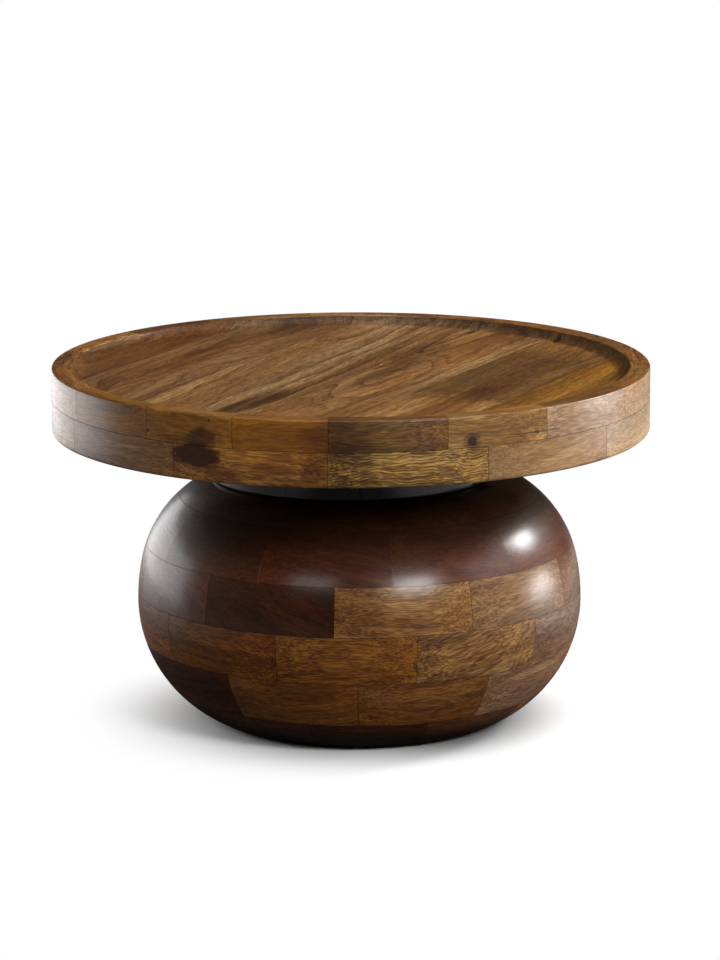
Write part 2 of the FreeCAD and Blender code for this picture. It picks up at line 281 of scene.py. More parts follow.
def makeWoodFigure():
    tree = bpy.data.node_groups.new("woodFigure", "ShaderNodeTree")
    addSockets(tree, "INPUT", Vector=("Place", "Character"), Color=("Stain",), Float=(
        "Seam", "Swirl", "Knot", "Patch", "Ring Width", "Fibre Depth", "Pore Depth", "Cloud Depth"))
    addSockets(tree, "OUTPUT", Color=("Color",), Float=("Height", "Roughness"))
    given = tree.nodes.new("NodeGroupInput").outputs
    contrast, ripple, streak = split(given["Character"])

    # The grain wanders slowly, and ripples where the wood is curly
    wander = calcVector("MULTIPLY", drift(given["Place"], 3.2, 9.0, 2.0), (0.0, 0.030, 0.030))
    curl = addNode(tree, "ShaderNodeVectorMath", {
        0: drift(given["Place"], 46.0, 22.0, 1.0), "Scale": times(ripple, 0.006)},
        operation="SCALE").outputs["Vector"]
    place = calcVector("ADD", calcVector("ADD", given["Place"], wander), curl)

    # Growth rings
    radius = calcVector("LENGTH", calcVector("MULTIPLY", place, (0.0, 1.0, 1.0)))
    rings = calc("ADD", calc("DIVIDE", radius, given["Ring Width"]), given["Swirl"])
    uneven = noise(join({0: times(rings, 0.9)}), 1.0, 1.0, 1.0)
    rings = calc("MULTIPLY_ADD", uneven, 1.6, rings)
    cycle = calc("FRACT", rings)
    late = times(calc("POWER", cycle, 3.5), ramp(cycle, 0.97, 1.0, 1.0, 0.0))
    inputs = {"W": calc("FLOOR", rings)}
    ringTone = addNode(tree, "ShaderNodeTexWhiteNoise", inputs, noise_dimensions="1D").outputs[0]

    # Curly wood shows thin wavy lines
    across = calcVector("DOT_PRODUCT", place, (0.0, 120.0, 300.0))
    waves = calc("FRACT", calc("MULTIPLY_ADD", noise(place, 22.0, 30.0), 5.0, across))
    waves = ramp(calc("ABSOLUTE", calc("SUBTRACT", waves, 0.5)), 0.03, 0.26, 0.8, -0.3)
    waves = times(waves, times(ripple, ripple))

    # Clouds of colour, fibres and pores, all drawn out along the grain
    cloud = ramp(noise(place, 2.6, 24.0, 4.0, 0.6), 0.3, 0.72, -0.5, 0.5)
    fibre = ramp(noise(place, 9.0, 190.0), 0.32, 0.68, -0.4, 0.4)
    speck = ramp(noise(place, 50.0, 820.0, 0.0), 0.38, 0.62, -0.5, 0.5)
    fibre = calc("MULTIPLY_ADD", speck, 1.1, fibre)
    inputs = {"Vector": stretched(place, 48.0, 330.0), "Scale": 1.0}
    pores = addNode(tree, "ShaderNodeTexVoronoi", inputs).outputs
    rare = ramp(split(pores["Color"])[0], 0.45, 0.6)
    pore = times(ramp(pores["Distance"], 0.14, 0.44, 1.0, 0.0), rare)
    streaks = times(ramp(noise(place, 1.1, 17.0, 2.0, 0.6), 0.52, 0.66), streak)
    coarse = calc("ADD", calc("MINIMUM", ripple, 0.6), 0.4)

    shade = times(cloud, given["Cloud Depth"])
    for part, share in (
            (calc("SUBTRACT", late, 0.2), contrast),
            (calc("SUBTRACT", ringTone, 0.5), times(contrast, 0.4)),
            (times(fibre, coarse), given["Fibre Depth"]),
            (times(pore, coarse), given["Pore Depth"]),
            (waves, 1.0), (streaks, 0.8), (given["Patch"], 1.0)):
        shade = calc("MULTIPLY_ADD", part, share, shade)
    shade = calc("MAXIMUM", calc("MINIMUM", shade, 2.3), -0.8)

    # The stain turns redder in some places and yellower in others, and darkens with the shade
    warm = ramp(noise(given["Place"], 3.1, 13.0), 0.38, 0.64)
    redder, yellower, pitch = [tinted(given["Stain"], tint) for tint in (
        (1.03, 0.93, 0.80, 1), (0.98, 1.03, 1.08, 1), (0.07, 0.045, 0.035, 1))]
    depth = addNode(tree, "ShaderNodeCombineColor", {
        index: calc("POWER", base, shade) for index, base in enumerate((0.42, 0.35, 0.29))}).outputs[0]
    colour = tinted(blendColour(warm, redder, yellower), depth)
    colour = blendColour(times(given["Knot"], 0.97), colour, pitch)
    colour = blendColour(times(given["Seam"], 0.8), colour, pitch)

    height = calc("MULTIPLY_ADD", fibre, -0.30, times(pore, -0.6))
    height = calc("MULTIPLY_ADD", given["Knot"], -0.8, height)
    gloss = calc("MULTIPLY_ADD", fibre, 0.04, times(pore, 0.06))
    addNode(tree, "NodeGroupOutput", {"Color": colour, "Height": height, "Roughness": gloss})
    return tree


woodFigure = makeWoodFigure()


def marksField(tree, marks):
    # rings bends the growth rings, dark is a knot or pit, and patch darkens the shade
    place = objectPlace(tree)
    fields = {"Swirl": 0.0, "Knot": 0.0, "Patch": 0.0}
    for mark in marks:
        local = addNode(tree, "ShaderNodeMapping", {
            "Vector": place, "Location": mark["place"], "Rotation": (0, 0, math.radians(mark["turn"])),
            "Scale": mark["size"]}, vector_type="TEXTURE").outputs[0]
        inputs = {"Vector": local, "Scale": 1.7, "Detail": 2.0}
        ragged = addNode(tree, "ShaderNodeTexNoise", inputs).outputs[0]
        reach = calc("MULTIPLY_ADD", ragged, mark.get("ragged", 0.6), calcVector("LENGTH", local))
        for key, low, high, field, joined in (
                ("rings", 0.2, 2.6, "Swirl", "ADD"),
                ("dark", 1.15, 1.4, "Knot", "MAXIMUM"),
                ("patch", 1.0, 1.0 + mark.get("soft", 0.6), "Patch", "ADD")):
            if key in mark:
                fields[field] = calc(joined, ramp(reach, low, high, mark[key], 0.0), fields[field])
    return fields


def bumpNormal(height, strength, distance):
    inputs = {"Height": height, "Strength": strength, "Distance": distance}
    return addNode(height.id_data, "ShaderNodeBump", inputs).outputs[0]


def makeWood(name, marks, gloss, figure):
    material, tree, shader = newMaterial(name)

    def attribute(field, output):
        return addNode(tree, "ShaderNodeAttribute", attribute_name=field).outputs[output]

    seam = attribute("seam", "Fac")
    wood = addNode(tree, "ShaderNodeGroup", {
        "Place": attribute("boardPlace", "Vector"), "Stain": attribute("stain", "Color"),
        "Character": attribute("character", "Vector"), "Seam": seam,
        **marksField(tree, marks), **figure}, node_tree=woodFigure).outputs
    rough = calc("ADD", wood["Roughness"], gloss["roughness"])
    setInputs(shader, {
        "Base Color": wood["Color"],
        "Roughness": calc("MULTIPLY_ADD", seam, 0.5, rough),
        # No lacquer stands in a joint
        "Coat Weight": calc("MULTIPLY_ADD", seam, -gloss["coat"], gloss["coat"]),
        "Coat Roughness": gloss["coatRoughness"],
        "Specular IOR Level": gloss["specular"],
        "Normal": bumpNormal(wood["Height"], gloss["bump"], 0.0004)})
    return material


# Pieces that are made here take the place of plain solids, which are hidden
pointFields = dict(
    boardPlace=("FLOAT_VECTOR", "vector"), character=("FLOAT_VECTOR", "vector"),
    seam=("FLOAT", "value"), stain=("FLOAT_COLOR", "color"),
)
sharpAngle = math.radians(32)
# Joint widths from a joint to the end of its eased edge, and to the end of its dark mark
easeAt, clearAt = 0.8, 3.2


def dressMesh(mesh, fields):
    for field, values in fields.items():
        kind, key = pointFields[field]
        layer = mesh.attributes.get(field) or mesh.attributes.new(field, kind, "POINT")
        layer.data.foreach_set(key, np.asarray(values, dtype=np.float32).ravel())
    mesh.shade_smooth()
    mesh.set_sharp_from_angle(angle=sharpAngle)
    mesh.update()


def addPiece(name, mesh, nodes):
    piece = newObject(name, mesh)
    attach(piece, "root")
    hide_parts(*nodes)


def finishPiece(name, verts, faces, fields, material, nodes):
    mesh = bpy.data.meshes.new(name)
    mesh.from_pydata(verts, [], faces)
    mesh.materials.append(material)
    dressMesh(mesh, fields)
    addPiece(name, mesh, nodes)


def turned(x, y, turn):
    return x * math.cos(turn) - y * math.sin(turn), x * math.sin(turn) + y * math.cos(turn)


def boardFrame(points, bearing, centre, board, seed):
    rng = random.Random(seed)
    turn = math.radians(bearing)
    along = Vector((math.cos(turn), math.sin(turn), 0))
    inward = Vector((-math.sin(turn), math.cos(turn), 0))
    away = np.asarray(points) - np.asarray(centre)
    x = away @ np.asarray(along)
    y = away @ np.asarray(inward)
    z = away[:, 2]
    slope = math.radians(board.get("slope", rng.uniform(-4, 4)))
    runOut = math.radians(board.get("runOut", rng.uniform(-5, 5)))
    x, z = x * math.cos(slope) + z * math.sin(slope), z * math.cos(slope) - x * math.sin(slope)
    x, y = x * math.cos(runOut) + y * math.sin(runOut), y * math.cos(runOut) - x * math.sin(runOut)
    heartAngle = rng.uniform(0, 2 * math.pi)
    heart = board.get("heart")
    if heart is None:
        far = rng.uniform(0.03, 0.11)
        heart = (far * math.cos(heartAngle), far * math.sin(heartAngle))
    x = x + rng.uniform(0, 12)
    return np.stack([x, y - heart[0], z - heart[1]], 1)


def boardFields(points, seams, bearing, centre, board, seed):
    count = len(points)
    return dict(
        boardPlace=boardFrame(points, bearing, centre, board, seed),
        character=np.tile(board["character"], (count, 1)),
        stain=np.tile(board["stain"], (count, 1)),
        seam=seams,
    )


def arcPoints(centre, radius, start, end, steps):
    made = []
    for step in range(steps + 1):
        angle = math.radians(start + (end - start) * step / steps)
        made.append((centre[0] + radius * math.cos(angle), centre[1] + radius * math.sin(angle)))
    return made


def skinFaces(rows, size, flip=False):
    # Faces between rings of points, and one over each end
    faces = []
    for low in range(0, (rows - 1) * size, size):
        for index in range(size):
            after, high = (index + 1) % size, low + size
            face = (low + index, low + after, high + after, high + index)
            faces.append(face[:1] + face[:0:-1] if flip else face)
    ends = [tuple(range(size)), tuple(range((rows - 1) * size, rows * size))]
    ends[flip] = ends[flip][::-1]
    return faces + ends


def sweptSegment(profile, profileSeams, start, angle, seam):
    # A closed profile swept round the axis, a little smaller at its two cut ends
    closed = [Vector(point) for point in profile]
    inset = []
    for index, point in enumerate(closed):
        before = (point - closed[index - 1]).normalized()
        after = (closed[(index + 1) % len(closed)] - point).normalized()
        way = Vector((-(before.y + after.y), before.x + after.x))
        way = way.normalized() if way.length > 1e-6 else Vector((-before.y, before.x))
        inset.append(point + way * seam)
    edge = math.degrees(seam * 1.2 / profile[1][0])
    clear = clearAt * edge
    inner = max(3, round(angle / 1.3))
    # Angle from the start, whether it is a cut end, and the seam mark
    ends = [(0, True, 1.0), (edge, False, 0.85), (clear, False, 0.0)]
    stations = ends + [(clear + (angle - 2 * clear) * step / inner, False, 0.0) for step in range(1, inner)]
    stations += [(angle - along, cut, mark) for along, cut, mark in reversed(ends)]
    verts, seams = [], []
    for along, cut, mark in stations:
        bearing = math.radians(start + along)
        for point, rim in zip(inset if cut else closed, profileSeams):
            verts.append((*turned(0, -point.x, bearing), point.y))
            seams.append(max(mark, rim))
    return verts, seams, skinFaces(len(stations), len(closed), flip=True)


# Colours of the boards, and how strongly each shows its rings, ripples and dark streaks
def board(red, green, blue, contrast=0.35, ripple=0.3, streak=0.3, **rest):
    return dict(stain=linear(red, green, blue), character=(contrast, ripple, streak), **rest)


trayShape = dict(
    radius=0.381, innerRadius=0.3553, floorRadius=0.338, bore=0.321,
    bottom=0.377, bandSeam=0.421, dishFloor=0.449, top=0.460,
    cove=0.020, lip=0.002, topEdge=0.0025, underEdge=0.005,
    seam=0.00016, landDepth=0.0006, upperStart=-21.9, lowerStart=-34.2, plankTurn=-26.5,
    upperShares=(17.9, 21.9, 20.8, 24.4, 20.4, 22.6, 19.3, 23.1, 21.5,
                 18.8, 22.9, 20.2, 24.0, 19.6, 21.7, 22.3, 18.6),
    plankEdges=(-0.3553, -0.2819, -0.1551, 0.0181, 0.1321, 0.2599, 0.3553),
)

upperBoards = {
    1: board(106, 63, 10, 0.18, 0.0, 0.2, land=(0.9, 0.95, 2.4)),
    2: board(84, 55, 20, 0.30, 0.35, 0.5, land=(1.3, 1.15, 1.1)),
    3: board(123, 90, 45, 0.25, 0.2, 0.3, land=(0.9, 0.85, 0.75)),
    # Upper boards 4 and 5 at the right are pale partly for their own colour and partly for a painted sheen
    # on the side; their land tops keep the darker wood colour
    4: board(122, 91, 62, 0.12, 0.15, 0.2, land=(0.52, 0.38, 0.18)),
    5: board(136, 106, 69, 0.12, 0.15, 0.2, land=(0.52, 0.40, 0.20)),
    17: board(114, 72, 22, 0.20, 0.1, 0.4, land=(0.85, 0.9, 1.5)),
    16: board(113, 71, 16, 0.15, 0.1, 0.3, land=(0.85, 0.9, 1.5)),
}
lowerBoards = {
    12: board(101, 65, 29, 0.20, 0.15, 0.3),
    1: board(110, 71, 26, 0.40, 0.4, 0.5),
    2: board(114, 85, 40, 0.40, 1.0, 0.2, slope=2),
    # Lower boards 3 and 4 at the right are pale partly for their own colour and partly for a painted sheen
    3: board(116, 85, 50, 0.15, 0.05, 0.1),
    4: board(138, 109, 69, 0.15, 0.1, 0.2),
}
otherBoards = (
    board(112, 72, 32), board(103, 66, 29, 0.4, 0.5, 0.4), board(122, 82, 40, 0.3, 0.5, 0.2),
    board(107, 67, 28, 0.35, 0.2, 0.4), board(116, 76, 34, 0.45, 0.7, 0.2), board(98, 64, 30, 0.3, 0.3, 0.5),
)
plankBoards = {
    1: board(85, 53, 26, 0.45, 0.3, 0.5, runOut=0, slope=1),
    2: board(100, 69, 40, 0.75, 0.25, 0.4, slope=1.5, heart=(0.02, -0.06)),
    3: board(112, 82, 50, 0.75, 0.3, 0.4, slope=-1),
    4: board(110, 77, 43, 0.95, 0.25, 0.3, slope=-1.5, heart=(0.016, -0.05)),
    5: board(119, 84, 45, 0.45, 0.3, 0.5, slope=1, dusk=(-0.13, 0.30, 0.56)),
    6: board(106, 71, 23, 0.95, 0.25, 0.3, slope=-1.5, heart=(0.016, -0.05)),
}


def onBand(bearing, height):
    return (*turned(0, -trayShape["radius"], math.radians(bearing)), height)


# Marks that the photograph shows: where, how large along, out and up or across, and what each does
def bandMark(bearing, height, size, turn=None, **does):
    return dict(place=onBand(bearing, height), turn=bearing if turn is None else turn, size=size, **does)


def floorMark(x, y, size, turn=63.5, **does):
    return dict(place=(x, y, trayShape["dishFloor"]), turn=turn, size=size, **does)


bandMarks = [
    bandMark(22.6, 0.429, (0.0062, 0.012, 0.0058), dark=1.0, rings=1.5),
    bandMark(22.6, 0.429, (0.0115, 0.0228, 0.0105), patch=0.7, soft=0.6),
    bandMark(36.3, 0.4314, (0.004, 0.008, 0.0022), dark=0.8, rings=1.2),
    bandMark(36.6, 0.4314, (0.019, 0.0152, 0.0114), turn=36.3, patch=-0.25),
    bandMark(36.5, 0.4313, (0.036, 0.010, 0.0007), turn=36.3, dark=0.8, ragged=0.4),
    bandMark(-26.5, 0.4537, (0.0022, 0.004, 0.0018), dark=0.9, rings=0.6),
    bandMark(-40.1, 0.432, (0.0025, 0.004, 0.0022), dark=0.9, rings=0.6),
    bandMark(-29.3, 0.4085, (0.042, 0.038, 0.0165), turn=-29, patch=2.7, soft=0.35, ragged=0.8),
    bandMark(-28.0, 0.431, (0.0215, 0.038, 0.0145), patch=1.15, soft=0.5, ragged=0.8),
    bandMark(-24.0, 0.388, (0.0247, 0.038, 0.0114), patch=0.6, ragged=0.9),
    bandMark(-33.0, 0.4245, (0.0456, 0.038, 0.0076), patch=0.6, ragged=0.9),
    bandMark(-2.5, 0.436, (0.0494, 0.038, 0.0266), turn=-2, patch=0.75, ragged=0.9),
    bandMark(-1.5, 0.397, (0.0456, 0.038, 0.0285), turn=-1, patch=0.65, ragged=0.7),
    bandMark(-11.0, 0.396, (0.0475, 0.038, 0.0228), patch=0.45, ragged=0.9),
]
floorMarks = [
    floorMark(0.091, 0.139, (0.010, 0.0035, 0.01), dark=0.9, rings=1.0),
    floorMark(0.091, 0.139, (0.0855, 0.0228, 0.038), patch=0.45),
    floorMark(0.161, 0.283, (0.014, 0.004, 0.01), dark=0.85, rings=1.0),
    floorMark(0.273, 0.214, (0.014, 0.005, 0.01), dark=0.85, rings=1.0),
    floorMark(0.035, -0.062, (0.100, 0.020, 0.05), rings=3.5, ragged=0.3),
    floorMark(-0.121, -0.208, (0.11, 0.019, 0.095), turn=61.0, patch=1.2, ragged=0.8),
    floorMark(-0.073, -0.131, (0.12, 0.010, 0.095), patch=0.55, ragged=0.7),
    floorMark(-0.206, 0.022, (0.090, 0.022, 0.05), rings=2.0, ragged=0.4),
    floorMark(0.048, 0.003, (0.114, 0.0152, 0.095), patch=0.6, ragged=0.8),
    floorMark(0.253, 0.275, (0.10, 0.030, 0.09), patch=0.5, ragged=0.9),
    floorMark(-0.069, 0.343, (0.09, 0.028, 0.09), patch=0.55, ragged=0.9),
]
bandGloss = dict(roughness=0.50, bump=0.12, specular=0.12, coat=0.38, coatRoughness=0.33)
floorGloss = dict(roughness=0.46, bump=0.20, specular=0.12, coat=0.17, coatRoughness=0.33)
bandFigure = {"Ring Width": 0.011, "Fibre Depth": 0.95, "Pore Depth": 0.6, "Cloud Depth": 0.7}
floorFigure = {"Ring Width": 0.011, "Fibre Depth": 0.8, "Pore Depth": 0.5, "Cloud Depth": 0.55}
bandWood = makeWood("bandWood", bandMarks, bandGloss, bandFigure)
floorWood = makeWood("floorWood", floorMarks, floorGloss, floorFigure)


def bandProfiles(shape):
    # Distance from the axis and height of each point round a band, and its seam mark
    fine, outer, inner = shape["seam"], shape["radius"], shape["innerRadius"]
    low, top, edge, lip = shape["bandSeam"], shape["top"], shape["topEdge"], shape["lip"]
    upper = [(inner, low), (outer - fine, low), (outer, low + fine), (outer, low + 4 * fine)]
    upper += [(outer, (low + top) / 2)] + arcPoints((outer - edge, top - edge), edge, 0, 90, 5)
    upper += arcPoints((inner + lip * math.cos(math.radians(30)), top - lip), lip, 90, 150, 5)
    upperSeams = [0, 1, 0.8] + [0] * (len(upper) - 4) + [0.5]
    low, high, edge = shape["bottom"], shape["bandSeam"], shape["underEdge"]
    lower = [(shape["bore"], low)] + arcPoints((outer - edge, low + edge), edge, -90, 0, 6)
    lower += [(outer, (low + high) / 2), (outer, high - 4 * fine), (outer, high - fine)]
    lower += [(outer - fine, high), (shape["bore"], high)]
    lowerSeams = [0] * (len(lower) - 3) + [0.8, 1, 0]
    return upper, upperSeams, lower, lowerSeams


def makeBands(shape):
    upper, upperSeams, lower, lowerSeams = bandProfiles(shape)
    start = shape["upperStart"]
    layers = []
    for number, share in enumerate(shape["upperShares"], 1):
        layers.append(("upper", number, upper, upperSeams, start, share, upperBoards))
        start += share
    for number in range(1, 13):
        start = shape["lowerStart"] + 30 * (number - 1)
        layers.append(("lower", number, lower, lowerSeams, start, 30, lowerBoards))
    for band, number, profile, rim, start, angle, looks in layers:
        verts, seams, faces = sweptSegment(profile, rim, start, angle, shape["seam"])
        seed = number * 7 + (1000 if band == "upper" else 2000)
        look = looks.get(number) or otherBoards[random.Random(seed).randrange(len(otherBoards))]
        middle = start + angle / 2
        centre = onBand(middle, sum(point[1] for point in profile[:4]) / 4)
        fields = boardFields(verts, seams, middle, centre, look, seed)
        onTop = np.asarray(verts)[:, 2] > shape["top"] - shape["landDepth"]
        fields["stain"][onTop, :3] *= look.get("land", 1.0)
        node = "%s_band_segment_%02d" % (band, number)
        finishPiece("%sBand%02d" % (band, number), verts, faces, fields, bandWood, [node])


def dishHeight(shape, reach):
    out = max(0.0, reach - shape["floorRadius"])
    return shape["dishFloor"] + shape["cove"] - math.sqrt(shape["cove"] ** 2 - out ** 2)


def plankColumns(shape, left, right, steps=26):
    # x, how far the edge is eased down, and the seam mark
    fine, rim = 2 * shape["seam"], shape["innerRadius"]
    turns = [math.asin(max(-1, min(1, side / rim))) for side in (left, right)]
    columns = []
    for step in range(steps + 1):
        columns.append((rim * math.sin(turns[0] + (turns[1] - turns[0]) * step / steps), 0, 0))
    ease, clear = easeAt * fine, clearAt * fine
    if left > -rim:
        columns[0:1] = [(left, fine, 1), (left + ease, 0, 0.6), (left + clear, 0, 0)]
    if right < rim:
        columns[-1:] = [(right - clear, 0, 0), (right - ease, 0, 0.6), (right, fine, 1)]
    return columns


def plankRows(shape, steps=16):
    # circle that the row follows, share of its half chord, easing and mark
    fine, rim, flat = shape["seam"], shape["innerRadius"], shape["floorRadius"]
    clear = rim - clearAt * fine
    outer = [(rim, fine, 0.7), (rim - easeAt * fine, 0, 0.4), (clear, 0, 0)]
    outer += [(clear - (clear - flat) * step / 9, 0, 0) for step in range(1, 10)]
    rows = [(radius, -1, ease, mark) for radius, ease, mark in outer]
    rows += [(flat, -1 + 2 * step / steps, 0, 0) for step in range(1, steps)]
    rows += [(radius, 1, ease, mark) for radius, ease, mark in reversed(outer)]
    return rows


def plankMesh(shape, left, right):
    columns, rows = plankColumns(shape, left, right), plankRows(shape)
    turn = math.radians(shape["plankTurn"])
    known, verts, seams = {}, [], []

    def point(column, row):
        x, easeAcross, markAcross = column
        radius, side, easeAlong, markAlong = row
        y = side * math.sqrt(max(0.0, radius ** 2 - x ** 2))
        z = dishHeight(shape, math.hypot(x, y)) - max(easeAcross, easeAlong)
        key = (round(x, 6), round(y, 6))
        if key not in known:
            known[key] = len(verts)
            verts.append((*turned(x, y, turn), z))
            seams.append(max(markAcross, markAlong))
        return known[key]

    grid = [[point(column, row) for column in columns] for row in rows]
    faces = []
    for low, high in zip(grid, grid[1:]):
        for index in range(len(columns) - 1):
            face = list(dict.fromkeys((low[index], low[index + 1], high[index + 1], high[index])))
            if len(face) > 2:
                faces.append(tuple(face))
    loop = grid[0] + [row[-1] for row in grid[1:]] + grid[-1][-2::-1] + [row[0] for row in grid[-2:0:-1]]
    loop = list(dict.fromkeys(loop))
    start = len(verts)
    for index in loop:
        verts.append((*verts[index][:2], shape["bandSeam"]))
        seams.append(0)
    count = len(loop)
    for index in range(count):
        after = (index + 1) % count
        faces.append((start + index, start + after, loop[after], loop[index]))
    faces.append(tuple(reversed(range(start, start + count))))
    return verts, seams, faces


def paintedCoveShade(shape, points):
    # Painted shade: the cove's stain is darkened where it faces away from the light, at the back and the
    # right
    x, y = np.asarray(points)[:, 0], np.asarray(points)[:, 1]
    reach = np.maximum(np.hypot(x, y), 1e-6)
    rise = np.clip((reach - shape["floorRadius"]) / (shape["innerRadius"] - shape["floorRadius"]), 0, 1)
    side = np.clip(0.33 + 0.22 * y / reach + 0.6 * x / reach, 0, 1)
    return (1 - 0.66 * rise ** 0.6 * side)[:, None]


def makePlanks(shape):
    turn = math.radians(shape["plankTurn"])
    for number in range(1, 7):
        left, right = shape["plankEdges"][number - 1:number + 1]
        verts, seams, faces = plankMesh(shape, left, right)
        middle = (left + right) / 2
        centre = (*turned(middle, 0, turn), shape["dishFloor"])
        look = plankBoards[number]
        fields = boardFields(verts, seams, shape["plankTurn"] + 90, centre, look, 300 + number)
        # Painted shade in the cove, multiplied into the stain below
        coveShade = paintedCoveShade(shape, verts)
        # One plank is darker along its middle, from a sharp end to a soft one
        start, end, depth = look.get("dusk", (0, 0, 0))
        along = np.asarray(verts)[:, :2] @ (-math.sin(turn), math.cos(turn))
        dusk = np.clip((along - start) / 0.04, 0, 1) * np.clip((end - along) / 0.12, 0, 1)
        fields["stain"][:, :3] *= coveShade * (1 - depth * dusk)[:, None]
        # The painted cove shade also deepens the dark joint mark
        fields["seam"] = np.maximum(fields["seam"], 0.6 * (1 - coveShade[:, 0]))
        finishPiece("plank%d" % number, verts, faces, fields, floorWood,
                    ["tray_plank_%d" % number])


makeBands(trayShape)
makePlanks(trayShape)
print("tray ready")

# Drum: a ball of five courses of glued blocks under a lid of boards, all turned smooth together
drumShape = dict(
    shift=0.010, bottom=0.0025, footTop=0.047, courseHeight=0.061, lidBottom=0.291, top=0.316,
    bellyRadius=0.2845, bellyHeight=0.157, footInset=0.1036, topInset=0.0972,
    sideArc=0.246, shoulderHeight=0.2125, wall=0.038, blocks=10, seam=0.00024, topSeam=0.00008,
    jointBearing=-15.4, courseTurn=15, pointsRound=17, pointsHigh=13,
    neckRadius=0.181, neckTop=0.377, neckEdge=0.005, staves=4, lidBoards=4, plankTurn=-26.5,
    # At the top a dark stain with painted shadow under the tray, at the foot painted shade near the floor
    stainAndTrayShadowTop=(0.235, 0.285), paintedFootShade=(0.034, 0.010), stainAndShadeShare=0.8,
)


def bentArc(start, inward, end):
    span = end - start
    radius = span.dot(span) / (2 * inward.dot(span))
    centre = start + inward * radius
    return centre.x, centre.y, radius


def drumArcs(shape):
    # Distance from the axis and height of each arc's centre, and its radius
    belly = Vector((shape["bellyRadius"], shape["bellyHeight"]))
    foot = bentArc(belly, Vector((-1, 0)), Vector((belly.x - shape["footInset"], shape["bottom"])))
    side = (belly.x - shape["sideArc"], belly.y, shape["sideArc"])
    rise = shape["shoulderHeight"] - belly.y
    outward = Vector((math.sqrt(side[2] ** 2 - rise ** 2), rise)) / side[2]
    shoulder = Vector(side[:2]) + outward * side[2]
    top = bentArc(shoulder, -outward, Vector((belly.x - shape["topInset"], shape["top"])))
    return foot, side, top


def drumRadius(shape, height):
    foot, side, top = drumArcs(shape)
    arc = top if height > shape["shoulderHeight"] else side if height > shape["bellyHeight"] else foot
    return arc[0] + math.sqrt(arc[2] ** 2 - (height - arc[1]) ** 2)


def jointSpaced(place, points, fine):
    # Even steps across a block, with two fine ones beside each joint
    reach = times(calc("ABSOLUTE", place), 2.0)
    step = calc("DIVIDE", 2.0, calc("SUBTRACT", points, 1.0))
    near = calc("SUBTRACT", 1.0, step)
    far = calc("SUBTRACT", near, step)

    def even(low, high, end=1.0):
        return ramp(reach, low, high, 0.0, end, "LINEAR")

    wide = even(0.0, far, calc("MULTIPLY_ADD", fine, -clearAt, 1.0))
    mid = even(far, near, times(fine, clearAt - easeAt))
    last = even(near, 1.0, times(fine, easeAt))
    share = calc("ADD", wide, calc("ADD", mid, last))
    return times(share, calc("SIGN", place)), even(far, 1.0), even(near, 1.0)


def arcReach(height, arc):
    middle, level, radius = split(arc)
    rise = calc("SUBTRACT", height, level)
    flat = calc("SUBTRACT", times(radius, radius), times(rise, rise))
    return calc("ADD", middle, calc("SQRT", flat))


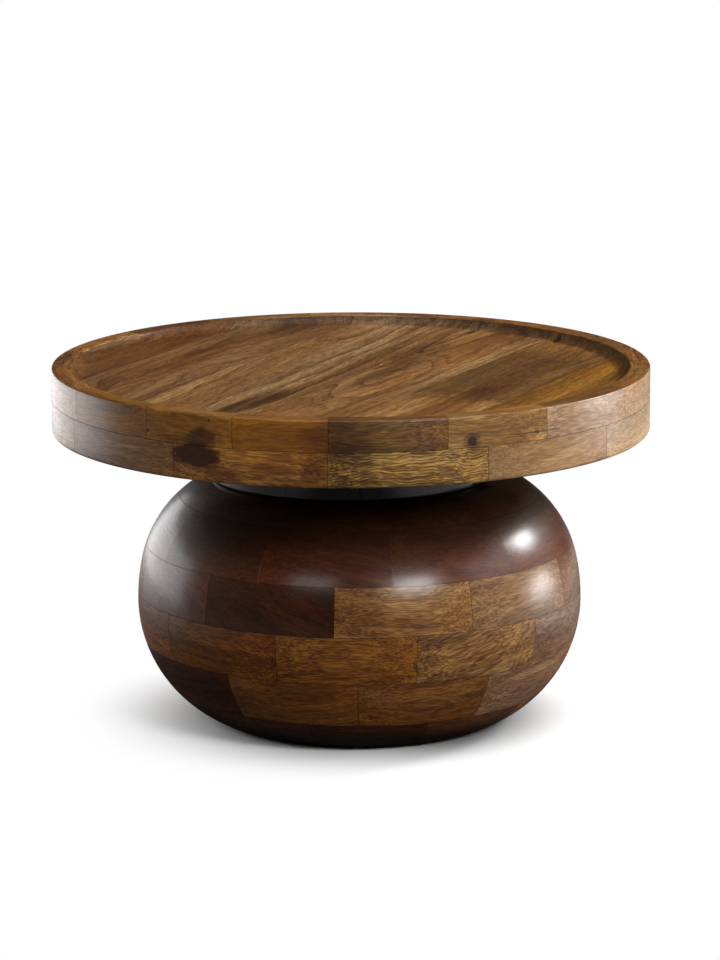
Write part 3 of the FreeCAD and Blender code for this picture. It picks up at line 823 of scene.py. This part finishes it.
def makeBlockTree():
    tree = bpy.data.node_groups.new("drumBlocks", "GeometryNodeTree")
    addSockets(tree, "INPUT", Int=("Blocks", "Points Round", "Points High"), Float=(
        "Joint Bearing", "Bottom", "Top", "Inner Face", "Axis Shift", "Belly Height",
        "Shoulder Height", "Joint Width"), Vector=("Foot Arc", "Side Arc", "Top Arc"), Material=("Finish",))
    addSockets(tree, "OUTPUT", Geometry=("Geometry",))
    given = tree.nodes.new("NodeGroupInput").outputs
    block = addNode(tree, "GeometryNodeMeshCube", {
        "Size": (1, 1, 1), "Vertices X": given["Points Round"], "Vertices Y": 2,
        "Vertices Z": given["Points High"]}).outputs["Mesh"]
    placeX, placeY, placeZ = split(tree.nodes.new("GeometryNodeInputPosition").outputs[0])
    half = calc("DIVIDE", math.pi, given["Blocks"])
    jointWidth = given["Joint Width"]
    tall = calc("SUBTRACT", given["Top"], given["Bottom"])
    fineAcross = calc("DIVIDE", jointWidth, times(given["Inner Face"], half))
    fineUp = calc("DIVIDE", jointWidth, times(tall, 0.5))
    across, markAcross, easeAcross = jointSpaced(placeX, given["Points Round"], fineAcross)
    up, markUp, easeUp = jointSpaced(placeZ, given["Points High"], fineUp)
    angle = times(across, half)
    height = calc("MULTIPLY_ADD", calc("MULTIPLY_ADD", up, 0.5, 0.5), tall, given["Bottom"])

    # The outside follows the foot, side or top arc of the ball, and the inside is flat
    below = arcReach(calc("MINIMUM", height, given["Belly Height"]), given["Foot Arc"])
    beside = arcReach(height, given["Side Arc"])
    above = arcReach(calc("MAXIMUM", height, given["Shoulder Height"]), given["Top Arc"])
    overBelly = calc("GREATER_THAN", height, given["Belly Height"])
    overShoulder = calc("GREATER_THAN", height, given["Shoulder Height"])
    reach = between(overBelly, below, beside)
    reach = between(overShoulder, reach, above)
    ease = calc("MAXIMUM", easeAcross, easeUp)
    reach = calc("MULTIPLY_ADD", ease, times(jointWidth, -1.0), reach)
    inner = calc("DIVIDE", given["Inner Face"], calc("COSINE", angle))
    outside = calc("SUBTRACT", 0.5, placeY)
    reach = between(outside, inner, reach)
    backwards = times(calc("COSINE", angle), -1.0)
    sideways = times(reach, calc("SINE", angle))
    moved = join({0: sideways, 1: times(reach, backwards), 2: height})

    mark = times(calc("MAXIMUM", markAcross, markUp), outside)
    block = addNode(tree, "GeometryNodeStoreNamedAttribute", {
        "Geometry": block, "Name": "seam", "Value": mark}, data_type="FLOAT", domain="POINT").outputs[0]
    block = addNode(tree, "GeometryNodeSetPosition", {"Geometry": block, "Position": moved}).outputs[0]

    number = tree.nodes.new("GeometryNodeInputIndex").outputs[0]
    turn = calc("MULTIPLY_ADD", calc("ADD", number, 0.5), times(half, 2.0), given["Joint Bearing"])
    axis = join({0: given["Axis Shift"]})
    seats = addNode(tree, "GeometryNodePoints", {"Count": given["Blocks"], "Position": axis}).outputs[0]
    ring = addNode(tree, "GeometryNodeInstanceOnPoints", {
        "Points": seats, "Instance": block, "Rotation": join({2: turn})}).outputs[0]
    ring = addNode(tree, "GeometryNodeStoreNamedAttribute", {
        "Geometry": ring, "Name": "block", "Value": number}, data_type="INT", domain="INSTANCE").outputs[0]
    ring = addNode(tree, "GeometryNodeRealizeInstances", {"Geometry": ring}).outputs[0]
    inputs = {"Geometry": ring, "Material": given["Finish"]}
    ring = addNode(tree, "GeometryNodeSetMaterial", inputs).outputs[0]
    addNode(tree, "NodeGroupOutput", {0: ring})
    return tree


blockTree = makeBlockTree()


def grownMesh(tree, values):
    # The tree's result with these inputs, as a plain mesh
    maker = newObject("blockMaker", bpy.data.meshes.new("blockMaker"))
    modifier = maker.modifiers.new("blocks", "NODES")
    modifier.node_group = tree
    for item in tree.interface.items_tree:
        if item.in_out == "INPUT":
            modifier[item.identifier] = values[item.name]
    graph = bpy.context.evaluated_depsgraph_get()
    grown = maker.evaluated_get(graph)
    mesh = bpy.data.meshes.new_from_object(grown, preserve_all_data_layers=True, depsgraph=graph)
    maker.modifiers.remove(modifier)
    bpy.data.objects.remove(maker)
    return mesh


# Blocks that the photograph shows, by course from the floor and by place in the course
shownBlocks = {
    (5, 8): board(69, 31, 8, 0.25, 0.1, 0.4, slope=-12),
    (5, 7): board(63, 29, 8, 0.25, 0.1, 0.3),
    (5, 9): board(73, 34, 9, 0.25, 0.1, 0.3),
    (5, 0): board(78, 38, 12, 0.25, 0.1, 0.3),
    (4, 9): board(113, 76, 36, 0.45, 0.3, 0.1, slope=0, runOut=0),
    (4, 8): board(45, 17, 2, 0.40, 0.2, 0.3, slope=-24),
    (4, 0): board(103, 73, 43, 0.25, 0.2, 0.1),
    (4, 7): board(76, 35, 11, 0.40, 0.3, 0.5, slope=-18),
    (4, 1): board(88, 56, 30, 0.30, 0.2, 0.3),
    (3, 9): board(91, 54, 13, 0.40, 0.4, 0.2, slope=0),
    (3, 0): board(101, 71, 38, 0.45, 0.5, 0.3, slope=14),
    (3, 8): board(87, 46, 6, 0.35, 0.3, 0.4),
    (3, 1): board(98, 72, 52, 0.30, 0.2, 0.3),
    (2, 9): board(90, 53, 16, 0.35, 0.2, 0.2),
    (2, 0): board(91, 54, 18, 0.40, 0.3, 0.4, slope=3),
    (2, 8): board(62, 23, 3, 0.35, 0.3, 0.4),
    (2, 1): board(107, 75, 50, 0.35, 0.3, 0.3),
    (1, 9): board(62, 29, 10, 0.35, 0.3, 0.4),
    (1, 0): board(56, 25, 8, 0.35, 0.3, 0.4),
    (1, 1): board(72, 38, 15, 0.35, 0.3, 0.4),
    (1, 8): board(44, 18, 6, 0.35, 0.2, 0.4),
    (2, 7): board(52, 22, 6, 0.35, 0.2, 0.4),
}
otherBlocks = (
    board(102, 53, 20), board(84, 40, 14, 0.4, 0.4, 0.5), board(131, 83, 37, 0.35, 0.5, 0.2),
    board(94, 47, 19, 0.4, 0.2, 0.4), board(115, 66, 29, 0.4, 0.6, 0.3),
)
drumGloss = dict(roughness=0.50, bump=0.12, specular=0.08, coat=0.44, coatRoughness=0.25)
drumFigure = {"Ring Width": 0.012, "Fibre Depth": 0.95, "Pore Depth": 0.6, "Cloud Depth": 0.6}
# A painted shade on the left of the front block of the fourth course, darker away from the highlight to its
# right
drumShadeMarks = [
    dict(place=(-0.004, -0.283, 0.202), turn=-3, size=(0.052, 0.05, 0.036), patch=0.45, ragged=0.7),
]
drumWood = makeWood("drumWood", drumShadeMarks, drumGloss, drumFigure)
neckGloss = dict(roughness=0.60, bump=0.10, specular=0.03, coat=0.60, coatRoughness=0.14)
neckWood = makeWood("neckWood", [], neckGloss, drumFigure)


def readValues(items, key, kind, width=1):
    values = np.empty(len(items) * width, dtype=kind)
    items.foreach_get(key, values)
    return values


def dressBlocks(mesh, shape, course, joint, middle):
    count = len(mesh.vertices)
    points = readValues(mesh.vertices, "co", np.float32, 3).reshape(-1, 3)
    number = readValues(mesh.attributes["block"].data, "value", np.int32)
    fields = dict(boardPlace=np.zeros((count, 3)), character=np.zeros((count, 3)), stain=np.ones((count, 4)))
    reach = shape["bellyRadius"] - shape["wall"] / 2
    for index in range(shape["blocks"]):
        inside = number == index
        bearing = joint + (index + 0.5) * 360 / shape["blocks"]
        x, y = turned(0, -reach, math.radians(bearing))
        centre = (shape["shift"] + x, y, middle)
        seed = 4000 + 20 * course + index
        other = shownBlocks[(5, 8)] if course == 5 else random.Random(seed).choice(otherBlocks)
        look = shownBlocks.get((course, index), other)
        part = boardFields(points[inside], None, bearing, centre, look, seed)
        for field in fields:
            fields[field][inside] = part[field]
    # Darker at the top, partly a dark stain and partly painted shadow under the tray, and darker at the
    # foot, painted shade near the floor
    dark = sum(np.clip((points[:, 2] - start) / (end - start), 0, 1)
               for start, end in (shape["stainAndTrayShadowTop"], shape["paintedFootShade"]))
    fields["stain"][:, :3] *= (1 - shape["stainAndShadeShare"] * dark)[:, None]
    if course == 5:
        # The stain hides most of the joints of the top course
        fields["seam"] = readValues(mesh.attributes["seam"].data, "value", np.float32) * 0.5
    mesh.attributes.remove(mesh.attributes["block"])
    dressMesh(mesh, fields)


def makeDrum(shape):
    foot, side, top = drumArcs(shape)
    low = shape["bottom"]
    for course in range(1, 6):
        high = shape["footTop"] + shape["courseHeight"] * (course - 1)
        corner = min(drumRadius(shape, low), drumRadius(shape, high)) - shape["wall"]
        joint = shape["jointBearing"] + shape["courseTurn"] * (course - 1)
        mesh = grownMesh(blockTree, {
            "Blocks": shape["blocks"], "Joint Bearing": math.radians(joint), "Bottom": low, "Top": high,
            "Inner Face": corner * math.cos(math.pi / shape["blocks"]), "Axis Shift": shape["shift"],
            "Belly Height": shape["bellyHeight"], "Shoulder Height": shape["shoulderHeight"],
            "Foot Arc": foot, "Side Arc": side, "Top Arc": top,
            "Joint Width": shape["topSeam" if course == 5 else "seam"],
            "Points Round": shape["pointsRound"], "Points High": shape["pointsHigh"], "Finish": drumWood})
        dressBlocks(mesh, shape, course, joint, (low + high) / 2)
        node = "drum_foot_course" if course == 1 else "drum_course_%d" % course
        addPiece("drumCourse%d" % course, mesh, [node])
        low = high


def sliceOutline(left, right, radius, fine, steps=16):
    # Points round one board of a round top, front arc first, each with its seam mark
    turns = [math.acos(max(-1, min(1, -side / radius))) for side in (left, right)]
    length = radius * (turns[1] - turns[0])
    shares = [0, easeAt * fine / length, clearAt * fine / length]
    shares += [step / steps for step in range(1, steps)] + [1 - share for share in reversed(shares)]
    marks = [0] * len(shares)
    if left > -radius:
        marks[0:2] = [1, 0.6]
    if right < radius:
        marks[-2:] = [0.6, 1]
    made = []
    for side in (-1, 1):
        for share, mark in list(zip(shares, marks))[::-side]:
            angle = turns[0] + (turns[1] - turns[0]) * share
            made.append((-radius * math.cos(angle), side * radius * math.sin(angle), mark))
    return made


def slicePiece(left, right, rings, turn, shift, fine):
    verts, seams = [], []
    for radius, height, rim in rings:
        points = sliceOutline(left, right, radius, fine)
        for x, y, mark in points:
            x, y = turned(x, y, turn)
            verts.append((shift + x, y, height))
            seams.append(max(mark, rim))
    return verts, seams, skinFaces(len(rings), len(points))


def makeRoundTop(name, node, rings, reach, count, turn, shift, look, material, seed):
    angle = math.radians(turn)
    for number in range(1, count + 1):
        left = -reach + 2 * reach * (number - 1) / count
        right = left + 2 * reach / count
        verts, seams, faces = slicePiece(left, right, rings, angle, shift, drumShape["seam"])
        x, y = turned((left + right) / 2, 0, angle)
        centre = (shift + x, y, rings[0][1])
        fields = boardFields(verts, seams, turn + 90, centre, look, seed + number)
        nodes = ["%s_%d" % (node, number)]
        finishPiece("%s%d" % (name, number), verts, faces, fields, material, nodes)


def makeNeckAndLid(shape):
    low, edge, radius = shape["top"], shape["neckEdge"], shape["neckRadius"]
    rings = [(r, z, 0) for r, z in arcPoints((radius - edge, low + edge), edge, -90, 0, 6)]
    rings += [(radius, shape["neckTop"], 0)]
    makeRoundTop("neckStave", "neck_stave", rings, radius, shape["staves"], shape["plankTurn"], 0.0,
                 board(20, 9, 4, 0.3, 0.2, 0.4), neckWood, 500)
    low, high, fine = shape["lidBottom"], shape["top"], shape["seam"]
    heights = [low, low + easeAt * fine, low + clearAt * fine]
    heights += [low + (high - low) * step / 7 for step in range(1, 8)]
    rings = [(drumRadius(shape, z), z, mark) for z, mark in zip(heights, [1, 0.6] + [0] * 8)]
    makeRoundTop("lidBoard", "drum_lid_board", rings, drumRadius(shape, low), shape["lidBoards"],
                 shape["plankTurn"] + 90, shape["shift"], board(38, 16, 5, 0.25, 0.1, 0.3), drumWood, 600)


makeDrum(drumShape)
makeNeckAndLid(drumShape)
print("drum and neck ready")

# Pieces that are out of sight keep their plain solids and get finished materials


def makeBattenWood(turn):
    material, tree, shader = newMaterial("battenWood")
    place = addNode(tree, "ShaderNodeMapping", {
        "Vector": objectPlace(tree),
        "Rotation": (0, 0, math.radians(turn)), "Location": (0, 0, 0.33)}, vector_type="TEXTURE").outputs[0]
    wood = addNode(tree, "ShaderNodeGroup", {
        "Place": place, "Stain": linear(150, 112, 70), "Character": (0.4, 0.2, 0.2), "Ring Width": 0.008,
        "Fibre Depth": 0.35, "Pore Depth": 0.5, "Cloud Depth": 0.5}, node_tree=woodFigure).outputs
    setInputs(shader, {
        "Base Color": wood["Color"], "Roughness": calc("ADD", wood["Roughness"], 0.55),
        "Normal": bumpNormal(wood["Height"], 0.4, 0.0005)})
    return material


def makeMetal(name, light, dark, roughness):
    material, tree, shader = newMaterial(name)
    place = objectPlace(tree)
    cloud = noise(place, 260.0, 260.0, 3.0)
    turning = noise(calcVector("MULTIPLY", place, (120.0, 120.0, 2600.0)), 1.0, 1.0)
    setInputs(shader, {
        "Base Color": blendColour(ramp(cloud, 0.35, 0.65), light, dark), "Metallic": 1.0,
        "Roughness": calc("MULTIPLY_ADD", turning, 0.18, roughness),
        "Normal": bumpNormal(turning, 0.25, 0.0001)})
    return material


def makeFelt():
    material, tree, shader = newMaterial("pressedFelt")
    place = objectPlace(tree)
    inputs = {"Vector": place, "Scale": 1800.0, "Detail": 4.0, "Distortion": 1.5}
    tangle = addNode(tree, "ShaderNodeTexNoise", inputs).outputs[0]
    clump = noise(place, 240.0, 240.0)
    shade = ramp(calc("MULTIPLY_ADD", tangle, 0.7, times(clump, 0.3)), 0.3, 0.7)
    setInputs(shader, {
        "Base Color": blendColour(shade, linear(30, 25, 21), linear(74, 63, 54)),
        "Roughness": calc("MULTIPLY_ADD", clump, 0.1, 0.85), "Specular IOR Level": 0.2,
        "Normal": bumpNormal(tangle, 0.8, 0.0004)})
    return material


battenWood = makeBattenWood(trayShape["plankTurn"])
zincSteel = makeMetal("zincSteel", linear(206, 208, 210), linear(170, 172, 176), 0.28)
turnedBrass = makeMetal("turnedBrass", linear(226, 196, 120), linear(196, 162, 84), 0.22)
pressedFelt = makeFelt()
hiddenFinishes = {
    "batten_screws": zincSteel, "batten": battenWood, "tray_bolts": zincSteel, "bolt_washers": zincSteel,
    "threaded_inserts": turnedBrass, "felt_pads": pressedFelt,
}
for name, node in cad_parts.items():
    for start, material in hiddenFinishes.items():
        if name.startswith(start):
            node.data.materials.clear()
            node.data.materials.append(material)
            break
print("hidden pieces ready")
